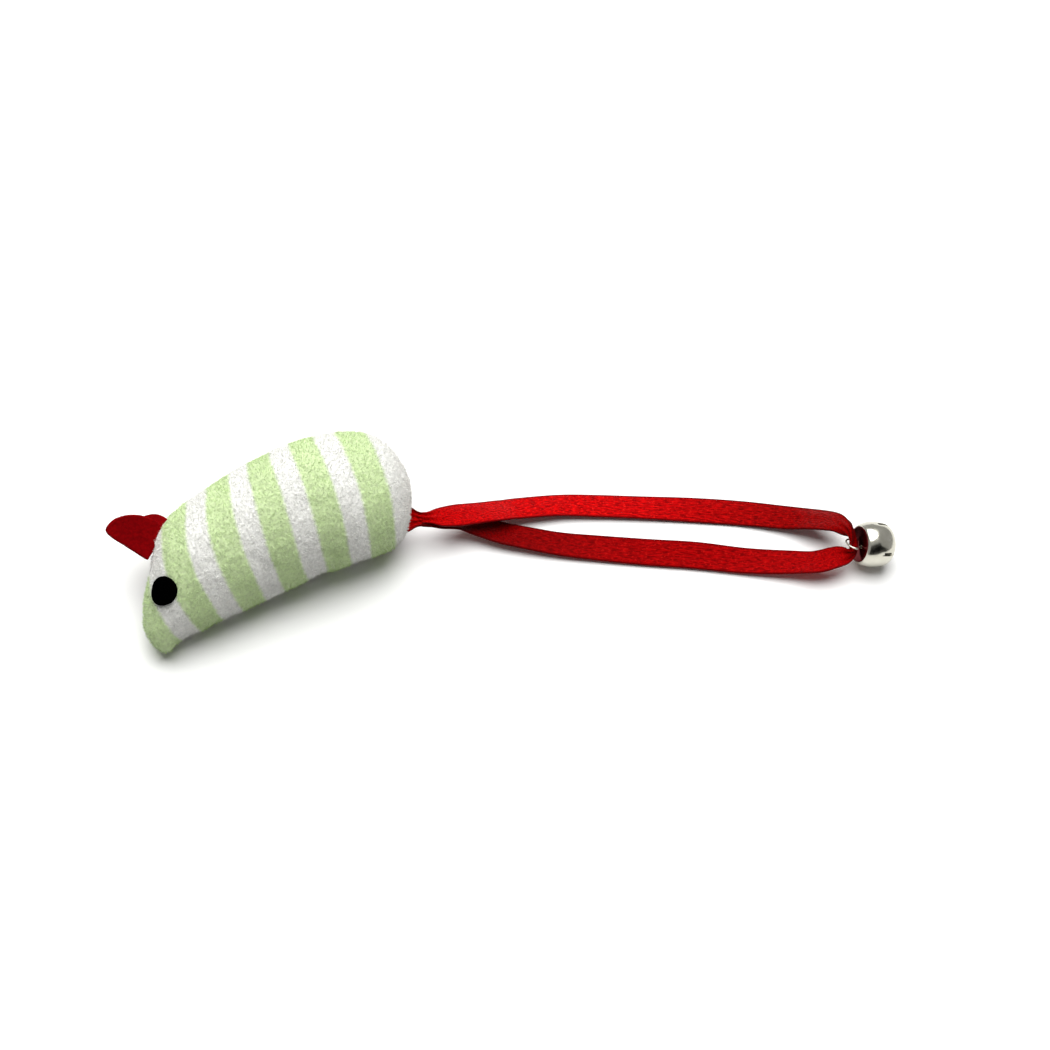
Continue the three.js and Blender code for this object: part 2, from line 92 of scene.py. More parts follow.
def smooth_row(rows, share):
    """The numbers at a share, from 0 to 1, of a smooth line through rows of numbers."""
    place = min(max(share, 0), 1) * (len(rows) - 1)
    i = min(int(place), len(rows) - 2)
    w = place - i
    here, there = np.array(rows[i], float), np.array(rows[i + 1], float)
    before = np.array(rows[i - 1], float) if i else 2 * here - there
    after = np.array(rows[i + 2], float) if i + 2 < len(rows) else 2 * there - here
    leave, arrive = (there - before) / 2, (after - here) / 2
    bend = (2 * here - 2 * there + leave + arrive) * w**3
    return bend + (3 * there - 3 * here - 2 * leave - arrive) * w**2 + leave * w + here


def body_point(share, turn):
    """A point of the body in its own frame, in mm: x from the nose, y right, z up to the spine."""
    x, belly, spine, flank, slant = smooth_row(body_rows, share)
    height = (belly + spine) / 2 + (spine - belly) / 2 * math.sin(turn)
    return Vector((x - slant * math.sin(turn), flank * math.cos(turn), height))


flank_steps = 400
flank_line = [body_point(i / flank_steps, 0) for i in range(flank_steps + 1)]
flank_reach = [0.0]
for a, b in zip(flank_line, flank_line[1:]):
    flank_reach.append(flank_reach[-1] + (b - a).length)
lie = Matrix.Rotation(-body_pitch, 4, "Y") @ Matrix.Rotation(-body_roll, 4, "X")
lie = lie @ Matrix.Scale(MM, 4)
lying = [lie @ body_point(i / 120, math.tau * j / 120) for i in range(121) for j in range(120)]
panel_tops = [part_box("left_side_panel")[1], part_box("right_side_panel")[1]]
shift = [max(p[k] for p in panel_tops) - max(p[k] for p in lying) for k in range(3)]
lie = Matrix.Translation(shift) @ lie


def stripe_at(p):
    """How far along the striped cloth a point of the body lies, in mm.

    The stuffing bows the stripes, so they run ahead or lag with the height and towards the flank.
    """
    x, y, z = p.x / body_length, abs(p.y) / half_width, (p.z - body_middle) / body_middle
    bow = -1.97 * z - 3.1 * z * z + 0.66 * x * z + 6.14 * x * z * z
    cloth_end = 68.5
    return min(0.3 + 69.14 * x - 1.06 * x * x + bow + 2.55 * y, cloth_end)


def flank_share(v):
    """The share of the body's rows at a corner of a ball, with its corners evenly along the flank."""
    polar = math.acos(max(-1, min(1, v.co.z))) / math.pi
    shares = np.linspace(0, 1, flank_steps + 1)
    return np.interp(polar * flank_reach[-1], flank_reach, shares)


def in_order(shape):
    """The same shape with its faces sorted by their corners.

    Some operators give another order each run, and the simulation and the pile follow that order.
    """
    made = bmesh.new()
    float_layers = shape.verts.layers.float
    layers = []
    for name in float_layers.keys():
        layers.append((float_layers[name], made.verts.layers.float.new(name)))
    shape.verts.index_update()
    twins = []
    for v in shape.verts:
        twin = made.verts.new(v.co)
        for old, new in layers:
            twin[new] = v[old]
        twins.append(twin)
    rounds = []
    for face in shape.faces:
        corners = [v.index for v in face.verts]
        first = corners.index(min(corners))
        rounds.append(corners[first:] + corners[:first])
    for corners in sorted(rounds):
        made.faces.new([twins[i] for i in corners])
    shape.free()
    return made


sphere = bmesh.new()
bmesh.ops.create_uvsphere(sphere, u_segments=56, v_segments=60, radius=1)
body = in_order(sphere)
for face in body.faces:
    face.material_index = int(face.calc_center_median().x > 0)
stripe_layer = body.verts.layers.float.new("stripe")
seam_layer = body.verts.layers.deform.verify()
own_places = {}
body.verts.index_update()
for v in body.verts:
    seam = abs(v.co.x) < 1e-5
    p = body_point(flank_share(v), math.atan2(v.co.y, v.co.x))
    v[stripe_layer] = stripe_at(p)
    if seam:
        v[seam_layer][0] = 1.0
    own_places[v.index] = (p.copy(), seam)
    v.co = lie @ p
bmesh.ops.recalc_face_normals(body, faces=body.faces)
body.normal_update()


def stuff(shape, pressure, shrink, cap):
    """Blows cloth up from inside and draws its seams in, at a size where the cloth settings hold."""
    enlarged = 10
    frames = 20
    mesh = bpy.data.meshes.new("stuffed")
    shape.to_mesh(mesh)
    mesh.transform(Matrix.Scale(enlarged, 4))
    start = [v.co.copy() for v in mesh.vertices]
    dummy = bpy.data.objects.new("stuffed", mesh)
    bpy.context.scene.collection.objects.link(dummy)
    dummy.vertex_groups.new(name="seam")
    cloth = dummy.modifiers.new("cloth", "CLOTH")
    cloth.settings.use_pressure = True
    cloth.settings.uniform_pressure_force = pressure
    cloth.settings.effector_weights.gravity = 0
    cloth.settings.vertex_group_shrink = "seam"
    cloth.settings.shrink_min = 0
    cloth.settings.shrink_max = shrink
    cloth.collision_settings.use_collision = False
    scene = bpy.context.scene
    for count in range(1, frames + 1):
        scene.frame_set(count)
    made = dummy.evaluated_get(bpy.context.evaluated_depsgraph_get()).data
    shape.verts.ensure_lookup_table()
    for v, a, b in zip(shape.verts, start, [w.co.copy() for w in made.vertices]):
        move = (b - a) / enlarged
        v.co += move * min(1, cap / max(move.length, 1e-9))
    bpy.data.objects.remove(dummy)
    scene.frame_set(1)


stuff(body, pressure=4, shrink=0.1, cap=0.6 * MM)
body.normal_update()
dents = [  # along the body, up it, depth, reach: mm
    (39.3, -0.6, 2.2, 2.4),
    (43, -0.6, -0.4, 2),
    (33, -0.6, 0.4, 2),
    (47.5, -0.6, 0.35, 1.6),
    (36.5, 28.5, 0.5, 3.5),
    (52, -0.6, 0.35, 3),
    (24, 26.5, 0.3, 3),
]
for v in body.verts:
    p, seam = own_places[v.index]
    pull = seam_pull if seam else 0
    for x, z, depth, reach in dents:
        away = math.hypot(p.x - x, p.y, p.z - z) / reach
        pull += depth * MM * math.exp(-away * away)
    v.co -= v.normal * pull
body.normal_update()
body_tree = BVHTree.FromBMesh(body)


def add_node(tree, kind, settings=None, links=None):
    """Adds a node, sets it by attribute or input name, and links its inputs to other outputs."""
    made = tree.nodes.new(kind)
    for name, value in (settings or {}).items():
        if isinstance(name, int) or name in made.inputs.keys():
            made.inputs[name].default_value = value
        else:
            setattr(made, name, value)
    for name, source in (links or {}).items():
        tree.links.new(source, made.inputs[name])
    return made


def colour(code):
    """The linear colour of an sRGB hex value."""
    parts = [int(code[i : i + 2], 16) / 255 for i in (1, 3, 5)]
    return [c / 12.92 if c <= 0.04045 else ((c + 0.055) / 1.055) ** 2.4 for c in parts] + [1]


def new_finish(name, sockets):
    """A material whose shader has these plain values, with its node tree and shader."""
    made = bpy.data.materials.new(name)
    made.use_nodes = True
    shader = made.node_tree.nodes["Principled BSDF"]
    for socket, value in sockets.items():
        shader.inputs[socket].default_value = value
    return made, made.node_tree, shader


# Polyester plush with a short brushed pile: matt, with a soft light rim from the fibre ends, and a
# mottled grain where the pile clumps. The stripes are dyed in, so their edges are soft.
plush, tree, shader = new_finish(
    "short_pile_plush",
    {"Roughness": 0.95, "Specular IOR Level": 0.15, "Sheen Weight": 0.25, "Sheen Roughness": 0.5},
)
spot = add_node(tree, "ShaderNodeTexCoord").outputs["Object"]
along = add_node(tree, "ShaderNodeAttribute", {"attribute_name": "stripe"}).outputs["Fac"]
fray = add_node(
    tree, "ShaderNodeTexNoise", {"Scale": 1 / (0.6 * MM), "Detail": 2.0}, {"Vector": spot}
).outputs["Fac"]
first_stripe = stripe_repeat / 2 - stripe_width / 2 - 0.45
jitter = add_node(
    tree, "ShaderNodeMath", {"operation": "MULTIPLY_ADD", 1: stripe_fray, 2: first_stripe}, {0: fray}
).outputs[0]
place = add_node(tree, "ShaderNodeMath", {"operation": "ADD"}, {0: along, 1: jitter}).outputs[0]
phase = add_node(
    tree, "ShaderNodeMath", {"operation": "FLOORED_MODULO", 1: stripe_repeat}, {0: place}
).outputs[0]
centred = add_node(
    tree, "ShaderNodeMath", {"operation": "SUBTRACT", 1: stripe_repeat / 2}, {0: phase}
).outputs[0]
distance = add_node(tree, "ShaderNodeMath", {"operation": "ABSOLUTE"}, {0: centred}).outputs[0]
green = add_node(
    tree,
    "ShaderNodeMapRange",
    {1: stripe_width / 2 - stripe_blur, 2: stripe_width / 2 + stripe_blur, 3: 1.0, 4: 0.0},
    {0: distance},
).outputs[0]
dyed = add_node(
    tree,
    "ShaderNodeMix",
    {"data_type": "RGBA", 6: colour("#F1F1EC"), 7: colour("#D3E6B2")},
    {0: green},
).outputs[2]
clumps = add_node(
    tree,
    "ShaderNodeTexNoise",
    {"Scale": 1 / (0.7 * MM), "Detail": 3.0, "Roughness": 0.65},
    {"Vector": spot},
).outputs["Fac"]
shade = add_node(
    tree, "ShaderNodeMapRange", {1: 0.3, 2: 0.7, 3: 0.8, 4: 1.1}, {0: clumps}
).outputs[0]
tint = add_node(
    tree,
    "ShaderNodeMix",
    {"data_type": "RGBA", "blend_type": "MULTIPLY", 0: 1.0},
    {6: dyed, 7: shade},
).outputs[2]
tree.links.new(tint, shader.inputs["Base Color"])
grain = add_node(
    tree, "ShaderNodeBump", {"Strength": 0.7, "Distance": 0.3 * MM}, {"Height": clumps}
).outputs[0]
tree.links.new(grain, shader.inputs["Normal"])


def settle(piece):
    """Turns a piece's modifiers into its mesh."""
    finished = piece.evaluated_get(bpy.context.evaluated_depsgraph_get())
    made = bpy.data.meshes.new_from_object(finished)
    piece.modifiers.clear()
    piece.data = made


def new_piece(name, shape, finish):
    """A piece from a bmesh, smooth and with its material."""
    mesh = bpy.data.meshes.new(name)
    shape.to_mesh(mesh)
    shape.free()
    mesh.materials.clear()
    mesh.materials.append(finish)
    for face in mesh.polygons:
        face.material_index = 0
        face.use_smooth = True
    made = bpy.data.objects.new(name, mesh)
    bpy.context.scene.collection.objects.link(made)
    return made


# The fibre ends of the pile: thin cones that stand on the plush and lean together in small tufts,
# drawn thicker and further apart than real ones so that they show. There are none where the ears
# are sewn in, or on the flat that the mouse lies on.
pile_lean = 3.8
pile_stray = 0.35
pile_turn = 6.3
bare_height = 1.4 * MM
ear_strip_start, ear_strip_end, ear_strip_half, ear_strip_foot = 5, 14.5, 2.6, 14
pile = bpy.data.node_groups.new("pile", "GeometryNodeTree")
pile.interface.new_socket("Geometry", in_out="INPUT", socket_type="NodeSocketGeometry")
pile.interface.new_socket("Geometry", in_out="OUTPUT", socket_type="NodeSocketGeometry")
cloth_in = add_node(pile, "NodeGroupInput").outputs[0]
cover = add_node(
    pile, "GeometryNodeInputNamedAttribute", {"data_type": "FLOAT", "Name": "cover"}
).outputs["Attribute"]
density = add_node(
    pile, "ShaderNodeMath", {"operation": "MULTIPLY", 1: 1 / pile_spacing**2}, {0: cover}
).outputs[0]
roots = add_node(
    pile, "GeometryNodeDistributePointsOnFaces", {"Seed": 4}, {"Mesh": cloth_in, "Density": density}
)
fibre = add_node(
    pile,
    "GeometryNodeMeshCone",
    {
        "fill_type": "NONE",
        "Vertices": 3,
        "Radius Top": 0.0,
        "Radius Bottom": pile_thickness,
        "Depth": pile_length,
    },
).outputs["Mesh"]
dyed_fibre = add_node(
    pile, "GeometryNodeSetMaterial", {"Material": plush}, {"Geometry": fibre}
).outputs[0]
nap = add_node(
    pile, "ShaderNodeTexNoise", {"Scale": 1 / (0.75 * MM), "Detail": 1.0}
).outputs["Color"]
about_zero = add_node(
    pile, "ShaderNodeVectorMath", {"operation": "SUBTRACT", 1: (0.5, 0.5, 0.5)}, {0: nap}
).outputs[0]
combed = add_node(
    pile,
    "ShaderNodeVectorMath",
    {"operation": "MULTIPLY", 1: (pile_lean, pile_lean, 0)},
    {0: about_zero},
).outputs[0]
stray = add_node(
    pile,
    "FunctionNodeRandomValue",
    {
        "data_type": "FLOAT_VECTOR",
        0: (-pile_stray, -pile_stray, 0),
        1: (pile_stray, pile_stray, pile_turn),
        "Seed": 2,
    },
).outputs[0]
lean = add_node(pile, "ShaderNodeVectorMath", {"operation": "ADD"}, {0: combed, 1: stray}).outputs[0]
turned = add_node(
    pile,
    "FunctionNodeRotateRotation",
    {"rotation_space": "LOCAL"},
    {0: roots.outputs["Rotation"], 1: lean},
).outputs[0]
length = add_node(
    pile, "FunctionNodeRandomValue", {"data_type": "FLOAT", 2: 0.5, 3: 1.15, "Seed": 3}
).outputs[1]
standing = add_node(
    pile,
    "GeometryNodeInstanceOnPoints",
    links={
        "Points": roots.outputs["Points"],
        "Instance": dyed_fibre,
        "Rotation": turned,
        "Scale": length,
    },
).outputs[0]
fibres = add_node(pile, "GeometryNodeRealizeInstances", links={0: standing}).outputs[0]
both = add_node(pile, "GeometryNodeJoinGeometry", links={0: cloth_in})
pile.links.new(fibres, both.inputs[0])
add_node(pile, "NodeGroupOutput", links={0: both.outputs[0]})

for name, other_side, node in [
    ("left_plush_panel", 1, "left_side_panel"),
    ("right_plush_panel", 0, "right_side_panel"),
]:
    half = body.copy()
    lining_layer = half.verts.layers.float.new("lining")
    drop = [f for f in half.faces if f.material_index == other_side]
    bmesh.ops.delete(half, geom=drop, context="FACES")
    outer = set(half.verts)
    bmesh.ops.solidify(half, geom=list(half.faces), thickness=plush_thickness)
    for v in half.verts:
        v[lining_layer] = 0.0 if v in outer else 1.0
    bmesh.ops.recalc_face_normals(half, faces=half.faces)
    panel = new_piece(name, in_order(half), plush)
    fine = panel.modifiers.new("fine", "SUBSURF")
    fine.levels = fine.render_levels = 2
    settle(panel)
    mesh = panel.data
    linings = mesh.attributes["lining"].data
    covers = mesh.attributes.new("cover", "FLOAT", "POINT").data
    ways = [n.vector.copy() for n in mesh.vertex_normals]
    unlie = lie.inverted()
    for v, n in zip(mesh.vertices, ways):
        own = unlie @ v.co
        beside_seam = abs(own.y) < ear_strip_half and own.z > ear_strip_foot
        at_ears = beside_seam and ear_strip_start < own.x < ear_strip_end
        outside = max(0.0, 1 - 2 * linings[v.index].value)
        lumps = noise.noise(v.co / (7 * MM)) * 0.25 + noise.noise(v.co / (2.6 * MM)) * 0.16
        clump = noise.noise(v.co / (1.1 * MM)) * 0.15
        v.co += n * (0.15 + lumps + clump) * MM * outside
        v.co.z = max(v.co.z, 0.05 * MM)
        covers[v.index].value = outside if v.co.z > bare_height and not at_ears else 0.0
    tufts = panel.modifiers.new("pile", "NODES")
    tufts.node_group = pile
    settle(panel)
    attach(panel, "mouse")
    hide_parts(node)

# Felt eyes: two round spots punched from black felt and glued on the cheeks, so that they follow
# the swell of the head.
eye_radius = 3.0
eye_thickness = 0.9
eye_lift = 0.15
eye_stretch = 0.27
eye_sides = 44
eye_spot = (7.4, 10.25)

# Black wool felt: pressed fibre, fully matt, with a faint mottled nap
black_felt, tree, shader = new_finish(
    "black_felt", {"Roughness": 1.0, "Specular IOR Level": 0.0}
)
spot = add_node(tree, "ShaderNodeTexCoord").outputs["Object"]
nap = add_node(
    tree, "ShaderNodeTexNoise", {"Scale": 1 / (0.4 * MM), "Detail": 4.0}, {"Vector": spot}
).outputs["Fac"]
tint = add_node(
    tree,
    "ShaderNodeMix",
    {"data_type": "RGBA", 6: colour("#000000"), 7: colour("#030303")},
    {0: nap},
).outputs[2]
tree.links.new(tint, shader.inputs["Base Color"])
rough = add_node(
    tree, "ShaderNodeBump", {"Strength": 0.6, "Distance": 0.15 * MM}, {"Height": nap}
).outputs[0]
tree.links.new(rough, shader.inputs["Normal"])

for name, side, node in [("left_felt_eye", -1, "left_eye"), ("right_felt_eye", 1, "right_eye")]:
    outside_point = lie @ Vector((eye_spot[0], side * 2 * half_width, eye_spot[1]))
    inwards = (lie.to_3x3() @ Vector((0, -side, 0))).normalized()
    hit, out, _, _ = body_tree.ray_cast(outside_point, inwards)
    turn = out.to_track_quat("Z", "Y").to_matrix()
    lengthwise = (lie.to_3x3() @ Vector((1, 0, 0))).normalized()
    disc = bmesh.new()
    bmesh.ops.create_cone(
        disc,
        cap_ends=True,
        segments=eye_sides,
        radius1=eye_radius * MM,
        radius2=eye_radius * MM,
        depth=eye_thickness * MM,
    )
    for depth in (0.2, 0.6, 0.9):
        caps = [f for f in disc.faces if len(f.verts) == eye_sides]
        bmesh.ops.inset_individual(disc, faces=caps, thickness=depth * MM)
    for v in disc.verts:
        flat = Vector((v.co.x, v.co.y, 0))
        wobble = 1 + 0.02 * noise.noise(flat / (1.1 * MM)) * flat.length / (eye_radius * MM)
        off = turn @ (flat * wobble)
        p = hit + off + lengthwise * off.dot(lengthwise) * eye_stretch
        under = body_tree.ray_cast(p + out * 6 * MM, -out)[0] or p
        v.co = under + out * (eye_lift + eye_thickness / 2) * MM + out * v.co.z
    bmesh.ops.recalc_face_normals(disc, faces=disc.faces)
    eye = new_piece(name, disc, black_felt)
    soft = eye.modifiers.new("soft", "SUBSURF")
    soft.levels = soft.render_levels = 2
    settle(eye)
    ways = [n.vector.copy() for n in eye.data.vertex_normals]
    for v, n in zip(eye.data.vertices, ways):
        v.co += n * noise.noise(v.co / (0.35 * MM)) * 0.05 * MM
    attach(eye, "mouse")
    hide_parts(node)

# Felt ears: two fans cut from thick red felt, sewn in at the crown of the head, one on each side of
# the spine seam, so that each one flaps about its base.
ear_thickness = 1.1
ear_rows = [  # height over the base, front edge, rear edge: mm
    (-0.9, 0, 7.75),
    (1.6, 0, 7.95),
    (4, 0, 7.8),
    (6, 0, 7.15),
    (7.6, 0, 6.2),
    (8.9, 0.1, 5.0),
    (9.8, 0.4, 3.7),
    (10.25, 1, 2.2),
]
ear_slope = math.radians(35)
ear_foot = (6.4, 1.6, 18)
ear_middle = Vector((3, 4, 0))

# Dyed red wool felt: matt and even, with a fine fibrous nap
red_felt, tree, shader = new_finish(
    "red_felt", {"Roughness": 1.0, "Specular IOR Level": 0.02}
)
spot = add_node(tree, "ShaderNodeTexCoord").outputs["Object"]
nap = add_node(
    tree, "ShaderNodeTexNoise", {"Scale": 1 / (0.7 * MM), "Detail": 4.0}, {"Vector": spot}
).outputs["Fac"]
tint = add_node(
    tree,
    "ShaderNodeMix",
    {"data_type": "RGBA", 6: colour("#570105"), 7: colour("#98050A")},
    {0: nap},
).outputs[2]
tree.links.new(tint, shader.inputs["Base Color"])
rough = add_node(
    tree, "ShaderNodeBump", {"Strength": 0.5, "Distance": 0.15 * MM}, {"Height": nap}
).outputs[0]
tree.links.new(rough, shader.inputs["Normal"])

for name, side, stagger, splay, node in [
    ("left_felt_ear", -1, 0.0, 10, "left_ear"),
    ("right_felt_ear", 1, 2.0, 58, "right_ear"),
]:
    fan = bmesh.new()
    bmesh.ops.create_grid(fan, x_segments=14, y_segments=18, size=1)
    foot = Vector((ear_foot[0], side * ear_foot[1], ear_foot[2]))
    foot += Vector((math.cos(ear_slope), 0, math.sin(ear_slope))) * stagger
    set_in = Matrix.Translation(foot)
    stand = set_in @ Matrix.Rotation(-ear_slope, 4, "Y")
    stand = stand @ Matrix.Rotation(math.pi / 2 - side * math.radians(splay), 4, "X")
    for v in fan.verts:
        across, up = (v.co.x + 1) / 2, (v.co.y + 1) / 2
        height, front, rear = smooth_row(ear_rows, up)
        curl = 0.5 * (across - 0.5) ** 2 * up - 0.12 * up * up
        v.co = lie @ stand @ Vector((front + across * (rear - front), height, curl))
    bmesh.ops.recalc_face_normals(fan, faces=fan.faces)
    bmesh.ops.solidify(fan, geom=list(fan.faces), thickness=ear_thickness * MM)
    centre = (lie @ stand).to_3x3() @ Vector((0, 0, ear_thickness / 2))
    shift_back = sum((v.co for v in fan.verts), Vector()) / len(fan.verts)
    want = lie @ stand @ ear_middle
    off = (shift_back - want).dot(centre.normalized())
    bmesh.ops.translate(fan, verts=fan.verts, vec=-centre.normalized() * off)
    bmesh.ops.recalc_face_normals(fan, faces=fan.faces)
    ear = new_piece(name, fan, red_felt)
    soft = ear.modifiers.new("soft", "SUBSURF")
    soft.levels = soft.render_levels = 2
    settle(ear)
    ways = [n.vector.copy() for n in ear.data.vertex_normals]
    for v, n in zip(ear.data.vertices, ways):
        v.co += n * noise.noise(v.co / (0.4 * MM)) * 0.05 * MM
    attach(ear, "left_ear" if side < 0 else "right_ear")
    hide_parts(node)

# Stuffing: loose polyester fibre that fills the plush and leaves a pocket for the sachet. It is
# pushed in through the belly seam before that is closed, and nothing of it shows.
stuffing_depth = 2.05
pocket_size = (22.6, 5.6, 18.6)
pocket_spot = (38, 0, 9.0)

# Polyester fibrefill: white, matt, tangled
fibrefill, tree, shader = new_finish("polyester_fibrefill", {"Roughness": 1.0})
spot = add_node(tree, "ShaderNodeTexCoord").outputs["Object"]
tangle = add_node(
    tree,
    "ShaderNodeTexNoise",
    {"Scale": 1 / (2 * MM), "Detail": 5.0, "Distortion": 1.5},
    {"Vector": spot},
).outputs["Fac"]
tint = add_node(
    tree,
    "ShaderNodeMix",
    {"data_type": "RGBA", 6: colour("#E6E3DA"), 7: colour("#F7F6F1")},
    {0: tangle},
).outputs[2]
tree.links.new(tint, shader.inputs["Base Color"])

filling = bmesh.new()
bmesh.ops.create_uvsphere(filling, u_segments=40, v_segments=40, radius=1)
for v in filling.verts:
    v.co = body_point(flank_share(v), math.atan2(v.co.y, v.co.x))
bmesh.ops.recalc_face_normals(filling, faces=filling.faces)
filling.normal_update()
for v in filling.verts:
    lump = 0.25 * noise.noise(v.co / 5)
    v.co = lie @ (v.co - v.normal * (stuffing_depth + lump))
stuffing = new_piece("fibre_stuffing", filling, fibrefill)
pocket = bmesh.new()
bmesh.ops.create_cube(pocket, size=1)
bmesh.ops.scale(pocket, vec=pocket_size, verts=pocket.verts)
bmesh.ops.translate(pocket, vec=pocket_spot, verts=pocket.verts)
bmesh.ops.transform(pocket, matrix=lie, verts=pocket.verts)
cutter = new_piece("pocket", pocket, fibrefill)
cut = stuffing.modifiers.new("pocket", "BOOLEAN")
cut.object = cutter
cut.solver = "EXACT"
settle(stuffing)
bpy.data.objects.remove(cutter)
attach(stuffing, "mouse")
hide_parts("stuffing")

# Catnip sachet: a small sewn bag of dried leaf, which lies loose in the stuffing behind the belly
# seam. It doesn't show.
sachet_size = (21.6, 12.8, 4.6)
sachet_half = Vector((sachet_size[0], sachet_size[2], sachet_size[1])) / 2.5
sachet_spot = (38, 0, 11.5)

# Thin cotton filled with crushed leaf: matt, with the leaf showing through in flecks
sachet_cotton, tree, shader = new_finish("leaf_filled_cotton", {"Roughness": 1.0})
spot = add_node(tree, "ShaderNodeTexCoord").outputs["Object"]
flecks = add_node(
    tree, "ShaderNodeTexNoise", {"Scale": 1 / (1.2 * MM), "Detail": 3.0}, {"Vector": spot}
).outputs["Fac"]
tint = add_node(
    tree,
    "ShaderNodeMix",
    {"data_type": "RGBA", 6: colour("#7E8455"), 7: colour("#B9BB92")},
    {0: flecks},
).outputs[2]
tree.links.new(tint, shader.inputs["Base Color"])

bag = bmesh.new()
bmesh.ops.create_uvsphere(bag, u_segments=40, v_segments=24, radius=1)
for v in bag.verts:
    flat = Vector((v.co.x, v.co.y, 0))
    corner = flat.length / max(abs(flat.x), abs(flat.y), 1e-6)
    square = 1 + 0.55 * (corner - 1)
    wrinkle = 1 + 0.06 * math.sin(14 * math.atan2(v.co.y, v.co.x)) * flat.length
    v.co = Vector((v.co.x * square, v.co.z * wrinkle * 0.9, v.co.y * square))
    v.co = lie @ (Vector(sachet_spot) + v.co * sachet_half)
bmesh.ops.recalc_face_normals(bag, faces=bag.faces)
sachet = new_piece("catnip_sachet", bag, sachet_cotton)
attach(sachet, "mouse")
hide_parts("catnip_pouch")

# Ribbon ends at the rump: both cut ends of the tail ribbon, notched like a fishtail and gathered
# into pleats where they are sewn into the belly seam.
ribbon_width = 6.35
root_start = Vector((62, 0, 3.7))
root_slope = math.radians(-24)
root_rows = [(6.3, 0.4), (5.9, 0.45), (4.9, 0.5), (3.6, 0.55), (2.9, 0.6), (2.8, 0.6), (3.0, 0.55)]
root_length = 4.2
root_thickness = 0.25

# Polyester satin ribbon, woven with the warp on its face: long floats give a soft gloss along its length,
# and its back is duller. Bright red specks are mixed into its colour as painted glints, and both selvedges
# are darkened as painted shade. The weave is drawn about three times as coarse as the real one, so that it
# shows. The colour is also darkened as painted shade along two stretches: the upper run by the bell, and the
# lower run by the rump. The four ranges are in mm along the ribbon, from its upper end.
thread_width, float_length, speckle_size = 0.34, 1.0, 0.44
selvedge_shade_inner, selvedge_shade_outer = ribbon_width / 2 - 0.55, ribbon_width / 2 - 0.1
back_share = 0.44
shade_by_bell_range = {"interpolation_type": "SMOOTHSTEP", 1: 46, 2: 76, 3: 0.0, 4: 1.0}
ends_at_bell = {"interpolation_type": "SMOOTHSTEP", 1: 96, 2: 106, 3: 1.0, 4: 0.0}
shade_upper_end_range = {"interpolation_type": "SMOOTHSTEP", 1: 9, 2: 43, 3: 0.25, 4: 0.0}
shade_lower_end_range = {"interpolation_type": "SMOOTHSTEP", 1: 142, 2: 172, 3: 0.0, 4: 0.95}
satin, tree, shader = new_finish(
    "red_satin_ribbon", {"Specular IOR Level": 0.09, "Specular Tint": colour("#FF2A1C")}
)
weave = add_node(tree, "ShaderNodeUVMap", {"uv_map": "weave"}).outputs[0]
stretched = add_node(
    tree, "ShaderNodeMapping", {"Scale": (1 / thread_width, 1 / float_length, 1)}, {"Vector": weave}
).outputs[0]
threads = add_node(
    tree, "ShaderNodeTexNoise", {"Scale": 1.0, "Detail": 2.0}, {"Vector": stretched}
).outputs["Fac"]
floats = add_node(
    tree, "ShaderNodeMapRange", {1: 0.36, 2: 0.64, 3: 0.0, 4: 1.0}, {0: threads}
).outputs[0]
speckle = add_node(
    tree,
    "ShaderNodeTexNoise",
    {"Scale": 1 / speckle_size, "Detail": 2.0, "Roughness": 0.7},
    {"Vector": weave},
).outputs["Fac"]
# Painted glints: a speckle mask that mixes bright red specks into the satin's colour
painted_glint = add_node(
    tree, "ShaderNodeMapRange", {1: 0.55, 2: 0.7, 3: 0.0, 4: 0.9}, {0: speckle}
).outputs[0]
red = add_node(
    tree,
    "ShaderNodeMix",
    {"data_type": "RGBA", 6: colour("#820104"), 7: colour("#D20407")},
    {0: floats},
).outputs[2]
# The painted glints are mixed into the base colour here
bright = add_node(
    tree,
    "ShaderNodeMix",
    {"data_type": "RGBA", 7: colour("#F01C16")},
    {0: painted_glint, 6: red},
).outputs[2]
place = add_node(tree, "ShaderNodeSeparateXYZ", links={0: weave}).outputs
off_middle = add_node(
    tree, "ShaderNodeMath", {"operation": "SUBTRACT", 1: ribbon_width / 2}, {0: place["X"]}
).outputs[0]
edge = add_node(tree, "ShaderNodeMath", {"operation": "ABSOLUTE"}, {0: off_middle}).outputs[0]
# Painted shade along both edges: the selvedge is mixed towards a darker red
selvedge_shade = add_node(
    tree, "ShaderNodeMapRange", {1: selvedge_shade_inner, 2: selvedge_shade_outer, 3: 0.0, 4: 0.9}, {0: edge}
).outputs[0]
woven_and_edge_shaded = add_node(
    tree, "ShaderNodeMix", {"data_type": "RGBA", 7: colour("#6A0206")}, {0: selvedge_shade, 6: bright}
).outputs[2]
# Painted shade: masks of the stretches by the bell and by the rump, where the satin's colour is darkened
towards_bell = add_node(tree, "ShaderNodeMapRange", shade_by_bell_range, {0: place["Y"]}).outputs[0]
from_bell = add_node(tree, "ShaderNodeMapRange", ends_at_bell, {0: place["Y"]}).outputs[0]
by_bell = add_node(
    tree, "ShaderNodeMath", {"operation": "MULTIPLY"}, {0: towards_bell, 1: from_bell}
).outputs[0]
upper_end = add_node(tree, "ShaderNodeMapRange", shade_upper_end_range, {0: place["Y"]}).outputs[0]
lower_end = add_node(tree, "ShaderNodeMapRange", shade_lower_end_range, {0: place["Y"]}).outputs[0]
by_rump = add_node(
    tree, "ShaderNodeMath", {"operation": "MAXIMUM"}, {0: upper_end, 1: lower_end}
).outputs[0]
painted_shade_share = add_node(
    tree, "ShaderNodeMath", {"operation": "MAXIMUM"}, {0: by_bell, 1: by_rump}
).outputs[0]
